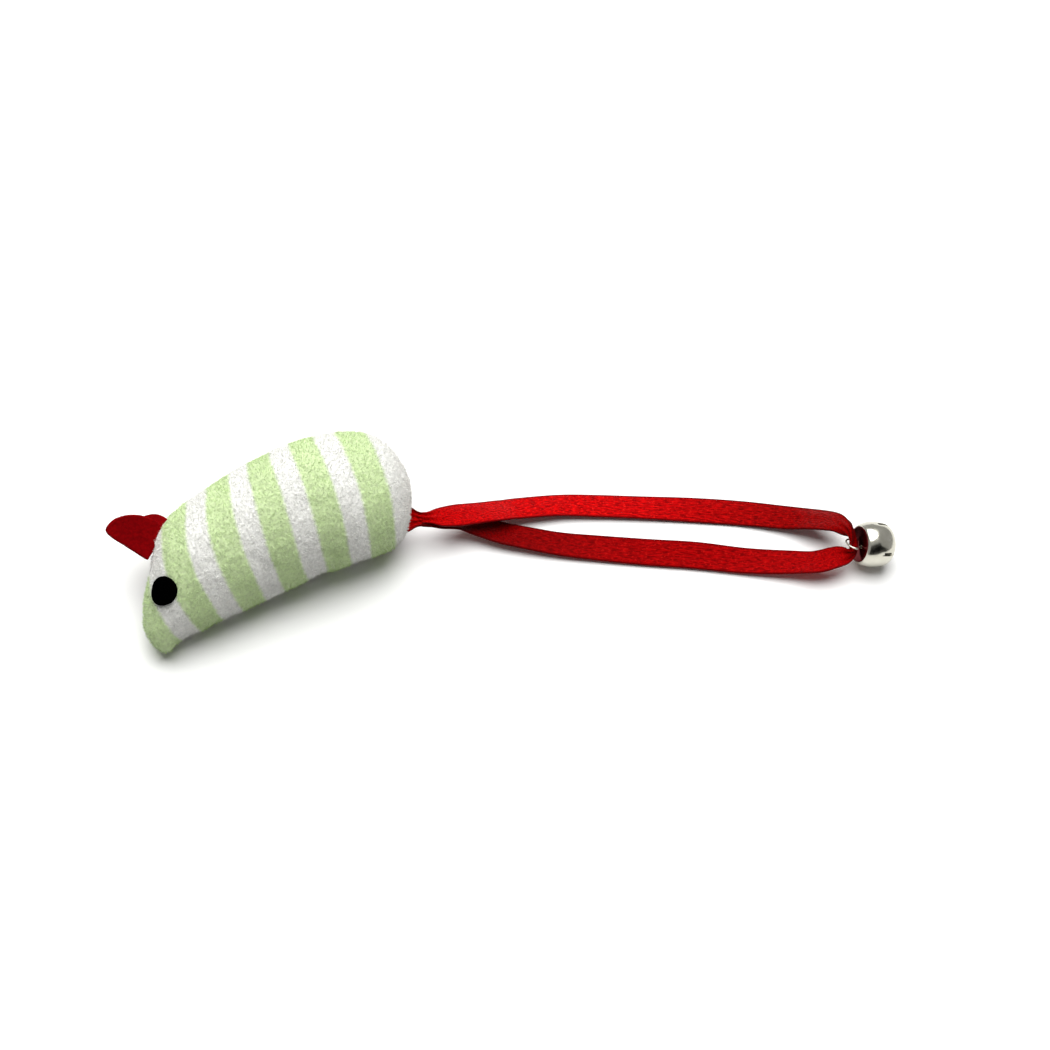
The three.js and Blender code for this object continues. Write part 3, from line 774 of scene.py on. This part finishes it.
# Painted shade: the satin's colour is multiplied darker along those stretches
with_painted_shade = add_node(
    tree,
    "ShaderNodeMix",
    {"data_type": "RGBA", "blend_type": "MULTIPLY", 7: colour("#B0A4A4")},
    {0: painted_shade_share, 6: woven_and_edge_shaded},
).outputs[2]
back_side = add_node(tree, "ShaderNodeAttribute", {"attribute_name": "back"}).outputs["Fac"]
dull_share = add_node(
    tree, "ShaderNodeMath", {"operation": "MULTIPLY", 1: back_share}, {0: back_side}
).outputs[0]
sided = add_node(
    tree, "ShaderNodeMix", {"data_type": "RGBA", 7: colour("#460002")}, {0: dull_share, 6: with_painted_shade}
).outputs[2]
tree.links.new(sided, shader.inputs["Base Color"])
gloss = add_node(
    tree, "ShaderNodeMapRange", {1: 0.3, 2: 0.7, 3: 0.55, 4: 0.35}, {0: threads}
).outputs[0]
tree.links.new(gloss, shader.inputs["Roughness"])
relief = add_node(
    tree, "ShaderNodeMath", {"operation": "ADD"}, {0: threads, 1: speckle}
).outputs[0]
rough = add_node(
    tree, "ShaderNodeBump", {"Strength": 0.9, "Distance": 0.12 * MM}, {"Height": relief}
).outputs[0]
tree.links.new(rough, shader.inputs["Normal"])


def weave_grid(across_count, along_count, length):
    """A flat grid with a weave map in mm: across the ribbon, then along it."""
    made = bmesh.new()
    bmesh.ops.create_grid(made, x_segments=across_count, y_segments=along_count, size=1)
    layer = made.loops.layers.uv.new("weave")
    for face in made.faces:
        for loop in face.loops:
            p = loop.vert.co
            loop[layer].uv = ((p.x + 1) / 2 * ribbon_width, (p.y + 1) / 2 * length)
    return made


root_along = Vector((math.cos(root_slope), 0, math.sin(root_slope)))
root_across = Vector((-math.sin(root_slope), 0, math.cos(root_slope)))
ends = bmesh.new()
for layer_side in (-1, 1):
    fan = weave_grid(30, 18, root_length)
    for v in fan.verts:
        across, share = v.co.x, (v.co.y + 1) / 2
        wide, deep = smooth_row(root_rows, share)
        notch = -2.0 * (abs(across) - 0.3) * (1 - share) ** 2
        reach = -0.2 + share * root_length + notch
        pleat = deep * math.cos(3.5 * math.pi * across + layer_side) * (0.3 + 0.4 * share)
        frill = 0.3 * noise.noise(Vector((across * 7, layer_side, 0))) * (1 - share) ** 2
        p = root_start + root_along * (reach + frill) + root_across * (across * wide / 2)
        p.y -= pleat * 0.8 + layer_side * 0.35 * (1 - 0.4 * share)
        v.co = lie @ p
    bmesh.ops.recalc_face_normals(fan, faces=fan.faces)
    bmesh.ops.solidify(fan, geom=list(fan.faces), thickness=root_thickness * MM)
    bmesh.ops.recalc_face_normals(fan, faces=fan.faces)
    spare = bpy.data.meshes.new("fan")
    fan.to_mesh(spare)
    fan.free()
    ends.from_mesh(spare)
    bpy.data.meshes.remove(spare)
root = new_piece("gathered_ribbon_ends", ends, satin)
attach(root, "mouse")
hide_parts("tail_root")

# Tail ribbon: one length of satin ribbon that runs from the rump through the wire of the bell and
# back. It lies on the table, gathered to a narrow bundle at the rump and where it passes the wire.
ribbon_thickness = 0.32
bundle_width = 1.5
tail_spot = Vector((31.7953, -10.0749, 0))
tail_yaw = math.radians(-27)
neck = 7.7913
hang = 6.8561
reach = 93.8
beside = -4.8
ribbon_route = [  # along and beside the tail, height, lean in degrees, width: mm
    (0.2, -0.1, neck + 0.5, 12, 2.7),
    (1.6, -0.15, neck + 0.735, 12, 2.9),
    (4.1, 0.6, neck * 0.99, 4, 4.8),
    (8.4, 2, neck * 0.86, -6, ribbon_width),
    (12.7, 3.3, neck * 0.73, -10, ribbon_width),
    (17, 5, neck * 0.54, -10, ribbon_width),
    (21.3, 6.6, neck * 0.36, -10, ribbon_width),
    (30, 8.2, 1.7, -9, ribbon_width),
    (38.5, 8.5, 1.2, -6, ribbon_width),
    (49.2, 8.3, 1, -4, ribbon_width),
    (60, 7.8, 0.9, 2, ribbon_width),
    (70.8, 7, 1, 2, ribbon_width),
    (reach - 13.3, 5.3, 2, -2, ribbon_width),
    (reach - 7.5, beside + 8.1, hang * 0.64, -8, ribbon_width),
    (reach - 3.9, beside + 6.2, hang - 0.6, 0, 5.5),
    (reach - 1.9, beside + 4.2, hang + 0.4, 16, 3.6),
    (reach - 0.6, beside + 2.2, hang + 0.9, 55, 2.1),
    (reach, beside, hang, 90, bundle_width),
    (reach - 0.15, beside - 1.2, hang - 1, 118, 2),
    (reach - 1.2, beside - 1.8, hang - 1.6, 148, 3.6),
    (reach - 3.5, beside - 2.1, hang - 2.1, 178, 5.3),
    (reach - 7.7, beside - 2.7, hang * 0.53, 189, ribbon_width),
    (reach - 13.3, beside - 2, 2.2, 184, ribbon_width),
    (70.8, -5.8, 1.2, 176, ribbon_width),
    (60, -4.6, 1.3, 169, ribbon_width),
    (49.2, -3.8, 1.2, 171, ribbon_width),
    (38.5, -2.8, 1.1, 178, ribbon_width),
    (29.9, -1.9, 1.2, 184, ribbon_width),
    (21.3, -0.5, 1.8, 188, ribbon_width),
    (17, 0.4, neck * 0.26, 190, ribbon_width),
    (12.7, 1.6, neck * 0.36, 190, ribbon_width),
    (8.4, 2.2, neck * 0.56, 186, ribbon_width),
    (4.1, 0.9, neck * 0.79, 176, 4.8),
    (1.6, 0.15, neck - 0.735, 168, 2.9),
    (0.2, 0.1, neck - 0.5, 168, 2.7),
]
swing = Matrix.Translation(tail_spot) @ Matrix.Rotation(tail_yaw, 4, "Z")
to_frame = Matrix.Scale(MM, 4) @ swing
ribbon_steps = 420
route_rows = [smooth_row(ribbon_route, i / ribbon_steps) for i in range(ribbon_steps + 1)]
route_line = [Vector(row[:3]) for row in route_rows]
route_length = sum((b - a).length for a, b in zip(route_line, route_line[1:]))
strip = weave_grid(24, ribbon_steps, route_length)
for v in strip.verts:
    i = round((v.co.y + 1) / 2 * ribbon_steps)
    ahead = route_line[min(i + 1, ribbon_steps)] - route_line[max(i - 1, 0)]
    ahead.normalize()
    tilt = math.radians(route_rows[i][3])
    wide = min(route_rows[i][4], ribbon_width)
    sideways = Vector((-ahead.y, ahead.x, 0)).normalized() * math.cos(tilt)
    sideways += Vector((0, 0, math.sin(tilt)))
    sideways = (sideways - ahead * sideways.dot(ahead)).normalized()
    face_up = ahead.cross(sideways)
    gather = max(0, (ribbon_width - wide) / (ribbon_width - bundle_width))
    c = -v.co.x
    pleat = 0.5 * gather * gather * math.cos(2.5 * math.pi * c + 0.02 * i)
    ripple = 0.12 * noise.noise(Vector((c * 1.2, i * 0.05, 3.0))) * (1 - gather)
    edge = -0.15 * c * c * (1 - gather)
    raised = pleat + ripple + edge + ribbon_thickness / 2
    p = route_line[i] + sideways * (c * wide / 2) + face_up * raised
    p.z = max(p.z, ribbon_thickness)
    v.co = to_frame @ p
strip.normal_update()
back_layer = strip.verts.layers.float.new("back")
satin_face = set(strip.verts)
bmesh.ops.solidify(strip, geom=list(strip.faces), thickness=ribbon_thickness * MM)
for v in strip.verts:
    v[back_layer] = 0.0 if v in satin_face else 1.0
bmesh.ops.recalc_face_normals(strip, faces=strip.faces)
ribbon = new_piece("satin_ribbon_tail", strip, satin)
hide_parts("tail_ribbon")
bend_start = to_frame @ Vector((0.6, 0, neck))
bend_end = to_frame @ Vector((7, 0, neck))
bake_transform(ribbon, "mouse", "tail", start=bend_start, end=bend_end)

# Bell shell: a small jingle bell drawn from thin brass in two cups and nickel plated, flat at its
# crown and cut crosswise at its other end. It hangs on the ribbon by its wire and lies on the table
# with the slotted end tipped down.
bell_size = 10
bell_length = 7.65
bell_crown = 8.2
bell_wall = 0.5
shank_reach = 1.35
slot_width = 0.8
slot_length = 4.2
shank_neck = 1.2
hole_radius = 0.4
shank_roll = math.radians(66)
bell_roll = math.radians(-28)
bell_pitch = math.radians(20)
bell_yaw = math.radians(13)
hung = swing @ Matrix.Translation((reach, beside, hang))
hung = hung @ Matrix.Rotation(bell_yaw, 4, "Z") @ Matrix.Rotation(bell_pitch, 4, "Y")
bell_place = Matrix.Scale(MM, 4) @ hung

# Bright nickel plate over brass: a warm grey mirror, a little clouded by handling. The flat of the crown
# carries a painted reflection: it is tinted dark red for the red ribbon close in front of it.
nickel, tree, shader = new_finish("bright_nickel_plate", {"Metallic": 1.0})
spot = add_node(tree, "ShaderNodeTexCoord").outputs["Object"]
cloud = add_node(
    tree, "ShaderNodeTexNoise", {"Scale": 1 / (2.5 * MM), "Detail": 5.0}, {"Vector": spot}
).outputs["Fac"]
tint = add_node(
    tree,
    "ShaderNodeMix",
    {"data_type": "RGBA", 6: colour("#B0AD9E"), 7: colour("#D2D0C5")},
    {0: cloud},
).outputs[2]
haze = add_node(
    tree, "ShaderNodeMapRange", {1: 0.3, 2: 0.7, 3: 0.15, 4: 0.28}, {0: cloud}
).outputs[0]
tree.links.new(haze, shader.inputs["Roughness"])
scuffs = add_node(
    tree, "ShaderNodeTexNoise", {"Scale": 1 / (0.8 * MM), "Detail": 3.0}, {"Vector": spot}
).outputs["Fac"]
crown_face = add_node(tree, "ShaderNodeAttribute", {"attribute_name": "crown"}).outputs["Fac"]
# Painted reflection: the crown's flat is mixed towards dark red
crown_painted_reflection = add_node(
    tree, "ShaderNodeMix", {"data_type": "RGBA", 7: colour("#5E1216")}, {0: crown_face, 6: tint}
).outputs[2]
tree.links.new(crown_painted_reflection, shader.inputs["Base Color"])
scuffed = add_node(
    tree, "ShaderNodeBump", {"Strength": 0.12, "Distance": 0.1 * MM}, {"Height": scuffs}
).outputs[0]
tree.links.new(scuffed, shader.inputs["Normal"])


def bell_profile(inset):
    """Points of the bell's section from its crown to its slotted end: along it, out from its axis."""
    size = bell_size - 2 * inset
    length = bell_length - 2 * inset
    crown = bell_crown - 2 * inset
    rise = size - crown
    curve = [
        (length * 0.015, crown / 2 * 0.985),
        (length * 0.05, crown / 2 + rise * 0.1),
        (length * 0.15, crown / 2 + rise * 0.3),
        (length * 0.3, crown / 2 + rise * 0.47),
        (length * 0.45, size / 2),
        (length * 0.6, size * 0.495),
        (length * 0.72, size * 0.48),
        (length * 0.82, size * 0.45),
        (length * 0.9, size * 0.4),
        (length * 0.96, size * 0.335),
        (length * 0.99, size * 0.27),
        (length, size * 0.18),
        (length, 0),
    ]
    face = [(0, 0), (0, crown / 2 * 0.5), (0, crown / 2 * 0.88)]
    face.append((length * 0.004, crown / 2 * 0.95))
    rows = [smooth_row(curve, i / 40) for i in range(41)]
    return [(x + inset, max(r, 0)) for x, r in face + [tuple(row) for row in rows]]


def turned_cup(inset):
    """A closed bell form, turned about its axis."""
    made = bmesh.new()
    points = [made.verts.new((x, 0, r)) for x, r in bell_profile(inset)]
    edges = [made.edges.new(pair) for pair in zip(points, points[1:])]
    bmesh.ops.spin(
        made,
        geom=points + edges,
        cent=(0, 0, 0),
        axis=(1, 0, 0),
        angle=math.tau,
        steps=72,
        use_merge=True,
    )
    bmesh.ops.remove_doubles(made, verts=made.verts, dist=1e-4)
    bmesh.ops.recalc_face_normals(made, faces=made.faces)
    bmesh.ops.translate(made, vec=(shank_reach, 0, 0), verts=made.verts)
    return made


shell = new_piece("nickel_bell", turned_cup(0), nickel)
hollow = new_piece("hollow", turned_cup(bell_wall), nickel)
cutters = [hollow]
for quarter in (0, 1):
    slit = bmesh.new()
    bmesh.ops.create_cube(slit, size=1)
    bmesh.ops.scale(slit, vec=(2 * slot_length, 2 * bell_size, slot_width), verts=slit.verts)
    bmesh.ops.translate(slit, vec=(shank_reach + bell_length, 0, 0), verts=slit.verts)
    spun = Matrix.Rotation(bell_roll + quarter * math.pi / 2, 3, "X")
    bmesh.ops.rotate(slit, cent=(0, 0, 0), matrix=spun, verts=slit.verts)
    cutters.append(new_piece("slit", slit, nickel))
crosswise = Matrix.Rotation(math.pi / 2, 3, "Y")
shank_turn = Matrix.Rotation(shank_roll, 3, "X")
for side in (-1, 1):
    hole = bmesh.new()
    bmesh.ops.create_cone(
        hole, cap_ends=True, segments=20, radius1=hole_radius, radius2=hole_radius, depth=2
    )
    bmesh.ops.rotate(hole, cent=(0, 0, 0), matrix=crosswise, verts=hole.verts)
    bmesh.ops.translate(hole, vec=(shank_reach, 0, side * shank_neck), verts=hole.verts)
    bmesh.ops.rotate(hole, cent=(0, 0, 0), matrix=shank_turn, verts=hole.verts)
    cutters.append(new_piece("hole", hole, nickel))
for cutter in cutters:
    cut = shell.modifiers.new("cut", "BOOLEAN")
    cut.object = cutter
    cut.solver = "EXACT"
settle(shell)
for cutter in cutters:
    bpy.data.objects.remove(cutter)
crown_layer = shell.data.attributes.new("crown", "FLOAT", "FACE")
for face in shell.data.polygons:
    in_front = face.center.x < shank_reach + 0.1
    on_crown = in_front and face.center.yz.length < bell_crown / 2 * 0.93
    crown_layer.data[face.index].value = 1.0 if on_crown else 0.0
shell.data.transform(bell_place)
shell.data.set_sharp_from_angle(angle=math.radians(35))
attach(shell, "bell")
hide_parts("bell_shell")

# Shank: a thin wire bent into a loop for the ribbon, whose two legs go through holes in the bell's
# crown. Real legs are bent over inside, where nothing of them shows, and these end straight.
wire_radius = 0.2
loop_radius = 2.0
loop_depth = 1.5
wire_rows = [(shank_reach + 1.6, shank_neck), (shank_reach - 0.1, shank_neck)]
wire_rows += [
    (loop_depth * math.cos(a), loop_radius * math.sin(a))
    for a in [math.pi / 3 + (math.tau - math.tau / 3) * i / 12 for i in range(13)]
]
wire_rows += [(shank_reach - 0.1, -shank_neck), (shank_reach + 1.6, -shank_neck)]
wire = bmesh.new()
wire_steps = 90
wire_line = []
for i in range(wire_steps + 1):
    x, z = smooth_row(wire_rows, i / wire_steps)
    wire_line.append(Vector((x, 0, z)))
rings = []
for i, p in enumerate(wire_line):
    ahead = (wire_line[min(i + 1, wire_steps)] - wire_line[max(i - 1, 0)]).normalized()
    at_end = i in (0, wire_steps)
    made = bmesh.ops.create_circle(wire, cap_ends=at_end, segments=12, radius=wire_radius)
    ring = made["verts"]
    turn = Vector((0, 1, 0)).cross(ahead)
    basis = Matrix((turn, Vector((0, 1, 0)), ahead)).transposed().to_4x4()
    bmesh.ops.transform(wire, matrix=Matrix.Translation(p) @ basis, verts=ring)
    rings.append(ring)
for a, b in zip(rings, rings[1:]):
    touching = dict.fromkeys(e for v in a + b for e in v.link_edges)
    loops = [e for e in touching if set(e.verts) <= set(a) or set(e.verts) <= set(b)]
    bmesh.ops.bridge_loops(wire, edges=loops)
bmesh.ops.recalc_face_normals(wire, faces=wire.faces)
bmesh.ops.transform(wire, matrix=bell_place @ Matrix.Rotation(shank_roll, 4, "X"), verts=wire.verts)
shank = new_piece("bell_wire_loop", wire, nickel)
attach(shank, "bell")
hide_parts("bell_shank")

# Pea: the steel ball that rattles in the bell, closed in when the bell's two cups were joined.
# Nothing holds it, and it shows only through the slots.
pea_radius = 1.4
pea_low, pea_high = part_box("bell_pea")

# Plain steel: grey and dull
steel, tree, shader = new_finish("plain_steel", {"Metallic": 1.0})
spot = add_node(tree, "ShaderNodeTexCoord").outputs["Object"]
oxide = add_node(
    tree, "ShaderNodeTexNoise", {"Scale": 1 / (0.6 * MM), "Detail": 3.0}, {"Vector": spot}
).outputs["Fac"]
tint = add_node(
    tree,
    "ShaderNodeMix",
    {"data_type": "RGBA", 6: colour("#8C8B88"), 7: colour("#A9A8A5")},
    {0: oxide},
).outputs[2]
tree.links.new(tint, shader.inputs["Base Color"])
dull = add_node(tree, "ShaderNodeMapRange", {1: 0.3, 2: 0.7, 3: 0.35, 4: 0.5}, {0: oxide}).outputs[0]
tree.links.new(dull, shader.inputs["Roughness"])

ball = bmesh.new()
bmesh.ops.create_icosphere(ball, subdivisions=3, radius=pea_radius * MM)
bmesh.ops.translate(ball, vec=(pea_low + pea_high) / 2, verts=ball.verts)
pea = new_piece("bell_ball", ball, steel)
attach(pea, "pea")
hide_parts("bell_pea")

# Table and backdrop: one sheet of white paper. It looks white to the camera and in the bell, fades
# into the white room far from the mouse, and keeps its soft shadow.
paper_seen = (1.06, 1.06, 1.05, 1)
fade_start, fade_end = 0.18, 0.4
paper, tree, shader = new_finish(
    "white_paper",
    {"Roughness": 0.9, "Specular IOR Level": 0.1, "Emission Color": (1, 1, 1, 1)},
)
path = add_node(tree, "ShaderNodeLightPath").outputs
straight = add_node(
    tree,
    "ShaderNodeMath",
    {"operation": "MAXIMUM"},
    {0: path["Is Camera Ray"], 1: path["Is Glossy Ray"]},
).outputs[0]
seen = add_node(
    tree, "ShaderNodeMath", {"operation": "MAXIMUM"}, {0: straight, 1: path["Is Transmission Ray"]}
).outputs[0]
white = add_node(
    tree, "ShaderNodeMix", {"data_type": "RGBA", 6: colour("#D0D0D0"), 7: paper_seen}, {0: seen}
).outputs[2]
tree.links.new(white, shader.inputs["Base Color"])
spot = add_node(tree, "ShaderNodeTexCoord").outputs["Object"]
from_toy = add_node(
    tree, "ShaderNodeVectorMath", {"operation": "LENGTH"}, {0: spot}
).outputs["Value"]
far = add_node(
    tree, "ShaderNodeMapRange", {1: fade_start, 2: fade_end, 3: 0.0, 4: 1.0}, {0: from_toy}
).outputs[0]
fade = add_node(tree, "ShaderNodeMath", {"operation": "MULTIPLY"}, {0: far, 1: seen}).outputs[0]
tree.links.new(fade, shader.inputs["Emission Strength"])
sheet = bmesh.new()
bmesh.ops.create_grid(sheet, x_segments=8, y_segments=8, size=1.5)
table = new_piece("table", sheet, paper)

# Studio light: a wide soft box above the mouse and a little behind it, and an even pale room. The
# room gives the mouse a little light, shows brighter in the bell, and is white to the camera.
lamp_spot = Vector((0.13, 0.18, 0.75))
lamp_aim = Vector((0.03, -0.02, 0))
room_light, room_in_bell, room_to_camera = 0.1, 0.33, 0.9
soft_box = bpy.data.lights.new("soft_box", "AREA")
soft_box.shape = "DISK"
soft_box.size = 1.0
soft_box.energy = 11.2
lamp = bpy.data.objects.new("soft_box", soft_box)
lamp.location = lamp_spot
lamp.rotation_euler = (lamp_aim - lamp_spot).to_track_quat("-Z", "Y").to_euler()
bpy.context.scene.collection.objects.link(lamp)
room = bpy.data.worlds.new("pale_room")
room.use_nodes = True
tree = room.node_tree
path = add_node(tree, "ShaderNodeLightPath").outputs
mirrored = add_node(
    tree,
    "ShaderNodeMath",
    {"operation": "MULTIPLY_ADD", 1: room_in_bell, 2: room_light},
    {0: path["Is Glossy Ray"]},
).outputs[0]
level = add_node(
    tree,
    "ShaderNodeMath",
    {"operation": "MULTIPLY_ADD", 1: room_to_camera},
    {0: path["Is Camera Ray"], 2: mirrored},
).outputs[0]
tree.links.new(level, tree.nodes["Background"].inputs["Strength"])
tree.nodes["Background"].inputs["Color"].default_value = (1, 1, 1, 1)
bpy.context.scene.world = room

# Dark card: stands in for the dark side of the studio behind the camera, and shows only in the bell
card_size = (0.45, 0.42, 1)
card_spot = (0.11, -0.38, 0.22)
dark_card, tree, shader = new_finish(
    "black_card",
    {"Roughness": 1.0, "Specular IOR Level": 0.0, "Base Color": (0, 0, 0, 1)},
)
board = bmesh.new()
bmesh.ops.create_grid(board, x_segments=1, y_segments=1, size=0.5)
bmesh.ops.scale(board, vec=card_size, verts=board.verts)
upright = Matrix.Rotation(math.pi / 2, 3, "X")
bmesh.ops.rotate(board, cent=(0, 0, 0), matrix=upright, verts=board.verts)
bmesh.ops.translate(board, vec=card_spot, verts=board.verts)
card = new_piece("dark_card", board, dark_card)
card.visible_camera = card.visible_diffuse = False
card.visible_shadow = card.visible_transmission = False

# Camera: above the mouse and a little to its left, as in the photograph
azimuth, elevation, distance = math.radians(-26.3), math.radians(56), 0.462
aim_right, aim_up = 0.0555, 0.0072
photo_size, focal_length = 1050, 2101.5
level_back = Vector((math.sin(azimuth), -math.cos(azimuth), 0)) * math.cos(elevation)
back = level_back + Vector((0, 0, math.sin(elevation)))
right = Vector((math.cos(azimuth), math.sin(azimuth), 0))
up = back.cross(right)
camera = bpy.data.cameras.new("camera")
camera.sensor_width = 36
camera.lens = camera.sensor_width * focal_length / photo_size
camera.clip_start = 0.01
eye_point = bpy.data.objects.new("camera", camera)
eye_point.location = right * aim_right + up * aim_up + back * distance
eye_point.rotation_euler = (-back).to_track_quat("-Z", "Y").to_euler()
bpy.context.scene.collection.objects.link(eye_point)
bpy.context.scene.camera = eye_point
bpy.context.scene.view_settings.view_transform = "Standard"

bpy.context.view_layer.update()
